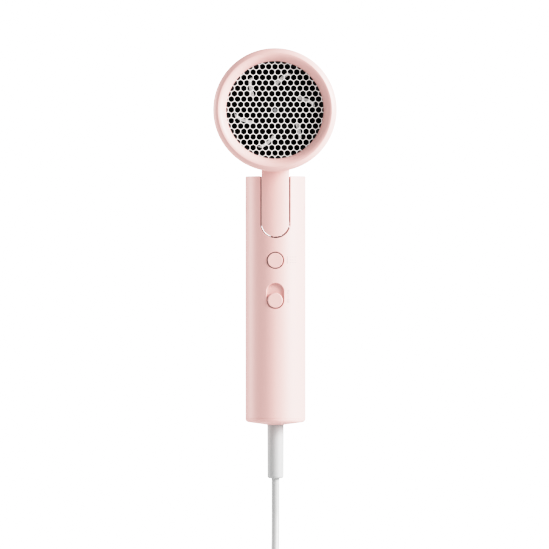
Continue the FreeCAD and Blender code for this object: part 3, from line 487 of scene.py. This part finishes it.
spring_middle = (SPRING_LOW + SPRING_HIGH) / 2
spring_radius = (SPRING_HIGH.x - SPRING_LOW.x - SPRING_WIRE) / 2
spring_length = SPRING_HIGH.y - SPRING_LOW.y - SPRING_WIRE
coil_path = []
for step in range(SPRING_TURNS * SPRING_POINTS + 1):
    share = step / (SPRING_TURNS * SPRING_POINTS)
    climb = min(1, max(0, (share - SPRING_FLAT) / (1 - 2 * SPRING_FLAT)))
    around = 2 * math.pi * SPRING_TURNS * share
    coil_path.append(Vector((spring_middle.x + spring_radius * math.cos(around),
                             SPRING_LOW.y + SPRING_WIRE / 2 + spring_length * climb,
                             spring_middle.z + spring_radius * math.sin(around))))
spring_wire = metal("spring_wire", (0.62, 0.62, 0.64), 0.25)
button_spring = tube("button_spring", coil_path, SPRING_WIRE, 8, spring_wire)
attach(button_spring, "handle")
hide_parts("temp_button_spring")
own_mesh(button_spring)
spring_wire.dress("hinge_wave_washers")

# ---- switches, boards and screws in the handle ---------------------------------------------
# A grey carrier holds two black switches and a green board with tinned pads.  Steel screws hold
# the board and the yoke of the fold, and a grey clamp holds the cord.
carrier_grey = vinyl("carrier_grey_plastic", (0.32, 0.33, 0.34), 0.5)
carrier_grey.dress("switch_carrier", "cord_clamp")
BLACK = (0.022, 0.021, 0.022)
black_plastic = vinyl("black_plastic", BLACK, 0.45)
black_plastic.dress("speed_switch", "temp_switch", "speed_switch_lever", "mesh_retainer",
                    "motor_end_bell", "fan_duct", "motor_mount", "hinge_yoke")
screw_steel = metal("screw_steel", (0.55, 0.55, 0.56), 0.3)
screw_steel.dress("board_screws", "yoke_screws", "neck_screws", "cord_clamp_screws",
                  "hinge_pin_left", "hinge_pin_right", "motor_shaft", "thermostat")

BOARD_GREEN, TRACK_GREEN, PAD_TIN = (0.02, 0.16, 0.06), (0.09, 0.34, 0.14), (0.55, 0.56, 0.52)
TRACK_PITCH, TRACK_RUN, TRACK_SLANT = 2.6 * MM, 5 * MM, 30 * MM
PAD_ACROSS, PAD_DOWN = 3.1 * MM, 3.3 * MM
board = Finish("lacquered_board", BOARD_GREEN, 0.25, Coat_Weight=0.4)
x, _, z = board.axes()
track = (z / TRACK_PITCH % 1 > 0.72) * ((x / TRACK_RUN + z / TRACK_SLANT) % 1 > 0.3)
pad = (x / PAD_ACROSS % 1 > 0.8) * (z / PAD_DOWN % 1 > 0.8)
board.set(Base_Color=board.blend(pad, board.blend(track * 0.35, BOARD_GREEN, TRACK_GREEN), PAD_TIN),
          Roughness=0.2 + 0.2 * board.noise(2 * MM), Metallic=pad)
board.bump(track + pad, 0.05 * MM, 0.5)
board.dress("control_board", "rectifier_board")

WIRE_RED, WIRE_BLACK = (0.5, 0.02, 0.015), (0.02, 0.02, 0.022)
wire_cover = Finish("wire_cover", WIRE_RED, 0.4)
left = wire_cover.axes()[0] < 0
wire_cover.set(Base_Color=wire_cover.blend(left, WIRE_RED, WIRE_BLACK),
               Roughness=0.35 + 0.15 * wire_cover.noise(2 * MM))
wire_cover.dress("handle_wires", "head_wires")
metal("bush_brass", (0.72, 0.53, 0.24), 0.28).dress("hinge_bush_left", "hinge_bush_right")

# ---- intake guard --------------------------------------------------------------------------
# A thin steel sheet, punched with six-sided holes in a honeycomb and painted silver white.  The
# intake ring's inner edge hides its rim, and a black ring behind it keeps it in place.
CELL_PITCH = 3.84 * MM         # from hole to hole along a row
HOLE_WIDE = 3.36 * MM          # between two flat sides of a hole
SHEET_RADIUS = 30.9 * MM
ROWS, COLUMNS = 21, 19
CELL_CORNERS = 18              # three points to each side of a cell
CORNER_REACH = 0.45            # 1 would make the holes true hexagons, and less rounds their corners
PAINT_ROUND = 0.09 * MM
GUARD_LOW, GUARD_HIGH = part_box("intake_mesh")
GUARD_MIDDLE = (GUARD_LOW + GUARD_HIGH) / 2
SHEET_THICK = GUARD_HIGH.y - GUARD_LOW.y - 0.02 * MM


def shape_tree(name, sizes):
    """A Geometry Nodes tree with these named sizes, and a material input."""
    tree = bpy.data.node_groups.new(name, "GeometryNodeTree")
    tree.interface.new_socket("Geometry", in_out="OUTPUT", socket_type="NodeSocketGeometry")
    kinds = {float: "NodeSocketFloat", int: "NodeSocketInt"}
    for size, value in sizes.items():
        tree.interface.new_socket(size, in_out="INPUT", socket_type=kinds[type(value)])
    tree.interface.new_socket("Finish", in_out="INPUT", socket_type="NodeSocketMaterial")
    made = Tree(tree)
    given = tree.nodes.new("NodeGroupInput")
    return made, {size: Signal(made, given.outputs[size]) for size in (*sizes, "Finish")}


def grown(name, tree, given, sizes, finish, result):
    """Ends the tree, runs it with these sizes and returns the plain mesh it makes."""
    real = tree.node("GeometryNodeRealizeInstances", {}, result)
    merged = tree.node("GeometryNodeMergeByDistance", {}, Geometry=real, Distance=0.01 * MM)
    dressed = tree.node("GeometryNodeSetMaterial", {}, Geometry=merged, Material=given["Finish"])
    tree.fill(tree.tree.nodes.new("NodeGroupOutput").inputs[0], dressed)
    holder = bpy.data.objects.new(name, bpy.data.meshes.new(name))
    bpy.context.collection.objects.link(holder)
    modifier = holder.modifiers.new("grow", "NODES")
    modifier.node_group = tree.tree
    for socket in tree.tree.interface.items_tree:
        if socket.in_out == "INPUT":
            modifier[socket.identifier] = sizes.get(socket.name, finish.material)
    whole = holder.evaluated_get(bpy.context.evaluated_depsgraph_get())
    data = bpy.data.meshes.new_from_object(whole, preserve_all_data_layers=True,
                                           depsgraph=bpy.context.evaluated_depsgraph_get())
    data.materials[0] = finish.material    # the plain mesh comes back with an empty slot
    bpy.data.objects.remove(holder)
    return data


def from_side(angle):
    """How far a direction turns from the middle of the nearest of a hexagon's six sides."""
    half_side = math.radians(30)
    return angle.tree.node("ShaderNodeMath", {"operation": "WRAP"}, angle, half_side, -half_side)


def at_angle(angle, radius):
    """The place at this angle and distance from the middle of a cell."""
    return angle.tree.node("ShaderNodeCombineXYZ", {}, angle.maths("COSINE", angle) * radius,
                           angle.maths("SINE", angle) * radius)


guard_sizes = {"Pitch": CELL_PITCH, "Hole": HOLE_WIDE, "Radius": SHEET_RADIUS,
               "Columns": COLUMNS, "Rows": ROWS}
honeycomb, given = shape_tree("honeycomb_sheet", guard_sizes)
cell = honeycomb.node("GeometryNodeMeshCircle", {"fill_type": "NGON"}, Vertices=CELL_CORNERS,
                      Radius=1.0)
spot = honeycomb.node("ShaderNodeSeparateXYZ", {}, honeycomb.node("GeometryNodeInputPosition", {}))
angle = spot.maths("ARCTAN2", spot.output("Y"), spot)
cell_angle = angle + math.pi / CELL_CORNERS
side = from_side(cell_angle)
cell_edge = given["Pitch"] * 0.5 / side.maths("COSINE", side)
cell = honeycomb.node("GeometryNodeSetPosition", {}, Geometry=cell,
                      Position=at_angle(cell_angle, cell_edge))
inset = honeycomb.node("GeometryNodeExtrudeMesh", {"mode": "FACES"}, Mesh=cell, Offset_Scale=0.0)
top = inset.output("Top")
side = from_side(angle)
hole_edge = given["Hole"] * 0.5 / side.maths("COSINE", side) ** CORNER_REACH
cell = honeycomb.node("GeometryNodeSetPosition", {}, Geometry=inset, Selection=top,
                      Position=at_angle(angle, hole_edge))
cell = honeycomb.node("GeometryNodeDeleteGeometry", {"domain": "FACE"}, Geometry=cell,
                      Selection=top)
index = honeycomb.node("GeometryNodeInputIndex", {})
row = index.maths("FLOOR", index / given["Columns"])
column = index - row * given["Columns"]
column_x = (column - (given["Columns"] - 1) * 0.5 + (row % 2) * 0.5) * given["Pitch"]
row_z = (row - (given["Rows"] - 1) * 0.5) * (math.sqrt(0.75) * given["Pitch"])
seats = honeycomb.node("GeometryNodePoints", {}, Count=given["Columns"] * given["Rows"],
                       Position=honeycomb.node("ShaderNodeCombineXYZ", {}, column_x, row_z))
far = honeycomb.node("ShaderNodeVectorMath", {"operation": "LENGTH"},
                     honeycomb.node("GeometryNodeInputPosition", {}), output="Value")
seats = honeycomb.node("GeometryNodeDeleteGeometry", {"domain": "POINT"}, Geometry=seats,
                       Selection=far > given["Radius"] + given["Pitch"] * 0.6)
cells = honeycomb.node("GeometryNodeInstanceOnPoints", {}, Points=seats, Instance=cell)
sheet = honeycomb.node("GeometryNodeTransform", {}, Geometry=cells,
                       Translation=tuple(GUARD_MIDDLE), Rotation=(math.radians(90), 0, 0))
guard_paint = Finish("silver_white_paint", (0.85, 0.83, 0.815), 0.32, Metallic=0.25)
guard_paint.set(Roughness=0.26 + 0.14 * guard_paint.noise(1.5 * MM),
                Base_Color=guard_paint.blend(guard_paint.noise(5 * MM), (0.80, 0.775, 0.76),
                                             (0.90, 0.885, 0.87)))
guard_paint.bump(guard_paint.noise(0.25 * MM, 3), 0.015 * MM, 0.4)
guard_mesh = grown("intake_guard", honeycomb, given, guard_sizes, guard_paint, sheet)

shape = bmesh.new()
shape.from_mesh(guard_mesh)
TRIM_CUTS = 48                 # the sheet is cut round where the ring hides its edge
for cut in range(TRIM_CUTS):
    out = Vector((math.cos(2 * math.pi * cut / TRIM_CUTS), 0,
                  math.sin(2 * math.pi * cut / TRIM_CUTS)))
    bmesh.ops.bisect_plane(shape, geom=[*shape.verts, *shape.edges, *shape.faces],
                           dist=0.001 * MM, plane_co=GUARD_MIDDLE + SHEET_RADIUS * out,
                           plane_no=out, clear_outer=True)
bmesh.ops.dissolve_degenerate(shape, edges=shape.edges, dist=0.01 * MM)
bmesh.ops.remove_doubles(shape, verts=shape.verts, dist=0.005 * MM)
for face in shape.faces:
    face.normal_update()
    if face.normal.y > 0:
        face.normal_flip()
shape.to_mesh(guard_mesh)
shape.free()
intake_guard = bpy.data.objects.new("intake_guard", guard_mesh)
bpy.context.collection.objects.link(intake_guard)
sheet_thickness = intake_guard.modifiers.new("thickness", "SOLIDIFY")
sheet_thickness.thickness, sheet_thickness.offset = SHEET_THICK, 0
rolled = intake_guard.modifiers.new("paint_round", "BEVEL")
rolled.width, rolled.segments, rolled.limit_method = PAINT_ROUND, 1, "ANGLE"
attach(intake_guard, "head")
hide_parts("intake_mesh")

# ---- fan -----------------------------------------------------------------------------------
# Six swept blades on a domed hub, moulded together in black; that black is darkened further as
# painted shade for the dark inside the head.  They are broad and overlap, and part of each front
# edge is painted pale as a painted highlight, standing in for glints that show through the guard
# as a short streak.
FAN_LOW, FAN_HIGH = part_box("fan_impeller")
FAN_CENTRE = Vector((0, 0, (FAN_LOW.z + FAN_HIGH.z) / 2))
FAN_RADIUS, HUB_RADIUS = 28.2 * MM, 10 * MM
BLADES = 6
BLADE_START = math.radians(16)     # where a front edge stands at BLADE_AT
BLADE_AT = 19.8 * MM
BLADE_THICK = 1.1 * MM
ROOT_SUNK = 1 * MM                 # how far a blade starts inside the hub
FRONT_GAP = 0.7 * MM               # from the fan's front to a blade's tip
ROOT_BACK = 1.2                    # how many mm further back a blade's root starts than its tip
BACK_GAP = 2.6 * MM                # how much shorter than the fan a blade is, front to back
CAMBER = 0.9 * MM
AROUND, ACROSS = 17, 9             # points along a blade and from its front to its back
fan_sizes = {"Blades": BLADES, "Hub": HUB_RADIUS, "Rim": FAN_RADIUS, "Sweep per metre": -38.0,
             "Turn back": 1.3}
impeller, given = shape_tree("fan_blades", fan_sizes)
grid = impeller.node("GeometryNodeMeshGrid", {}, Size_X=1.0, Size_Y=1.0, Vertices_X=AROUND,
                     Vertices_Y=ACROSS)
where = impeller.node("ShaderNodeSeparateXYZ", {}, impeller.node("GeometryNodeInputPosition", {}))
out, back = where + 0.5, where.output("Y") + 0.5
grid = impeller.node("GeometryNodeStoreNamedAttribute",
                     {"data_type": "FLOAT2", "domain": "CORNER"}, Geometry=grid, Name="blade",
                     Value=impeller.node("ShaderNodeCombineXYZ", {}, out, back))
radius = given["Hub"] - ROOT_SUNK + out * (given["Rim"] - given["Hub"] + ROOT_SUNK)
turn = (BLADE_START + (radius - BLADE_AT) * given["Sweep per metre"]
        + back * given["Turn back"] * (1.15 - 0.3 * out))
front = FAN_LOW.y + FRONT_GAP + (1 - out) * ROOT_BACK * MM
depth = front + back * (FAN_HIGH.y - FAN_LOW.y - BACK_GAP)
curve = back.maths("SINE", back * math.pi) * CAMBER
blade_at = impeller.node("ShaderNodeCombineXYZ", {}, turn.maths("COSINE", turn) * radius,
                         depth - curve, turn.maths("SINE", turn) * radius)
blade = impeller.node("GeometryNodeSetPosition", {}, Geometry=grid, Position=blade_at)
hubs = impeller.node("GeometryNodePoints", {}, Count=given["Blades"])
step = impeller.node("GeometryNodeInputIndex", {}) * (2 * math.pi / BLADES)
blades = impeller.node("GeometryNodeInstanceOnPoints", {}, Points=hubs, Instance=blade,
                       Rotation=impeller.node("ShaderNodeCombineXYZ", {}, 0.0, step, 0.0))
blades = impeller.node("GeometryNodeTransform", {}, Geometry=blades,
                       Translation=tuple(FAN_CENTRE))

# painted shade and painted highlight: the fan's black is a darker copy of the black plastic, and
# the pale colour stands in for glints on the blades
SHADED_FAN_BLACK, PAINTED_GLINT_COLOUR = darker(BLACK, 0.3), (0.80, 0.78, 0.77)
fan_plastic = Finish("fan_black_gloss", SHADED_FAN_BLACK, 0.4, Specular_IOR_Level=0.1)
uv = fan_plastic.node("ShaderNodeSeparateXYZ", {},
                      fan_plastic.node("ShaderNodeUVMap", {"uv_map": "blade"}))
u, v = uv, uv.output("Y")
wobble = fan_plastic.noise(16 * MM, 1) * 0.3 - 0.15
# painted highlight: a pale band on part of each blade's front edge, standing in for glints
painted_glint_band = (v < 0.09) * (u + wobble > 0.32) * (u + wobble < 0.82) * (u > 0.02)
fan_plastic.set(Base_Color=fan_plastic.blend(painted_glint_band, SHADED_FAN_BLACK, PAINTED_GLINT_COLOUR),
                Roughness=0.4 + 0.1 * fan_plastic.noise(2 * MM))
fan_mesh = grown("fan", impeller, given, fan_sizes, fan_plastic, blades)


def lathe(shape, profile, centre, steps=64):
    """Turns (y, radius) points round the head's axis; a radius of 0 closes the end."""
    rings = []
    for y, radius in profile:
        count = 1 if radius == 0 else steps
        rings.append([shape.verts.new((centre.x + radius * math.cos(2 * math.pi * i / steps), y,
                                       centre.z + radius * math.sin(2 * math.pi * i / steps)))
                      for i in range(count)])
    for ring, after in zip(rings, rings[1:]):
        for i in range(steps):
            j = (i + 1) % steps
            corners = [ring[i % len(ring)], ring[j % len(ring)], after[j % len(after)],
                       after[i % len(after)]]
            shape.faces.new(list(dict.fromkeys(corners)))


shape = bmesh.new()
shape.from_mesh(fan_mesh)
bmesh.ops.solidify(shape, geom=shape.faces[:], thickness=BLADE_THICK)
bmesh.ops.recalc_face_normals(shape, faces=shape.faces)
SHAFT_HOLE, HUB_HOLLOW = 1.3 * MM, 3 * MM
hub_nose, hub_foot = FAN_LOW.y, FAN_HIGH.y
lathe(shape, [(hub_nose + 0.4 * MM, SHAFT_HOLE), (hub_nose, 1.8 * MM), (hub_nose, 6.5 * MM),
              (hub_nose + 0.5 * MM, 8.2 * MM), (hub_nose + 1.6 * MM, 9.5 * MM),
              (hub_nose + 3.2 * MM, HUB_RADIUS), (hub_foot - 0.4 * MM, HUB_RADIUS),
              (hub_foot, 9.6 * MM), (hub_foot, 8.6 * MM), (hub_foot - HUB_HOLLOW, 8.4 * MM),
              (hub_foot - HUB_HOLLOW, SHAFT_HOLE), (hub_nose + 0.4 * MM, SHAFT_HOLE)], FAN_CENTRE)
shape.to_mesh(fan_mesh)
shape.free()
for face in fan_mesh.polygons:
    face.use_smooth = True
fan_blades = bpy.data.objects.new("fan_blades", fan_mesh)
bpy.context.collection.objects.link(fan_blades)
moulded = fan_blades.modifiers.new("moulded_edges", "BEVEL")
moulded.width, moulded.segments, moulded.limit_method = 0.3 * MM, 2, "ANGLE"
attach(fan_blades, "fan")
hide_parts("fan_impeller")

# ---- heater and outlet ---------------------------------------------------------------------
# Corrugated resistance wire is wound on a cross of mica inside a rolled mica tube, behind the
# motor.  A black heat-proof ring and a guard of rings and spokes close the outlet.
metal("motor_steel", (0.5, 0.5, 0.51), 0.32, (0.1, 1, 1)).dress("motor_can")
MICA = (0.42, 0.36, 0.25)
mica = Finish("mica_sheet", MICA, 0.3, Coat_Weight=0.3)
flake = mica.node("ShaderNodeTexVoronoi", {}, Vector=mica.place, Scale=1 / (2.2 * MM))
mica.set(Base_Color=mica.blend(mica.noise(3 * MM, 4), darker(MICA, 0.62), MICA),
         Roughness=0.2 + 0.3 * flake)
mica.bump(flake, 0.05 * MM, 0.4)
mica.dress("heater_tube", "heater_frame")
heat_black = vinyl("heat_proof_black", (0.03, 0.029, 0.029), 0.5)
heat_black.dress("outlet_ring", "outlet_grille")

COIL_LOW, COIL_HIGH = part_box("heater_coils")
COIL_TURNS = 9
COIL_WIRE = 0.7 * MM
WAVE = 1.1 * MM                # how far the corrugated wire swings each way
WAVES = 44                     # to a turn
WAVE_POINTS = 4
coil_middle = (COIL_LOW + COIL_HIGH) / 2
coil_radius = (COIL_HIGH.x - COIL_LOW.x) / 2 - COIL_WIRE / 2
coil_length = COIL_HIGH.y - COIL_LOW.y - COIL_WIRE - 2 * WAVE
coil_path = []
for step in range(COIL_TURNS * WAVES * WAVE_POINTS + 1):
    share = step / (COIL_TURNS * WAVES * WAVE_POINTS)
    around = 2 * math.pi * COIL_TURNS * share
    swing = WAVE * math.sin(2 * math.pi / WAVE_POINTS * step)
    coil_path.append(Vector((coil_radius * math.cos(around),
                             COIL_LOW.y + COIL_WIRE / 2 + WAVE + coil_length * share + swing,
                             coil_middle.z + coil_radius * math.sin(around))))
heating_wire = metal("oxidised_heating_wire", (0.24, 0.21, 0.2), 0.45)
heating_coil = tube("heating_coil", coil_path, COIL_WIRE, 6, heating_wire)
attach(heating_coil, "head")
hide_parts("heater_coils")
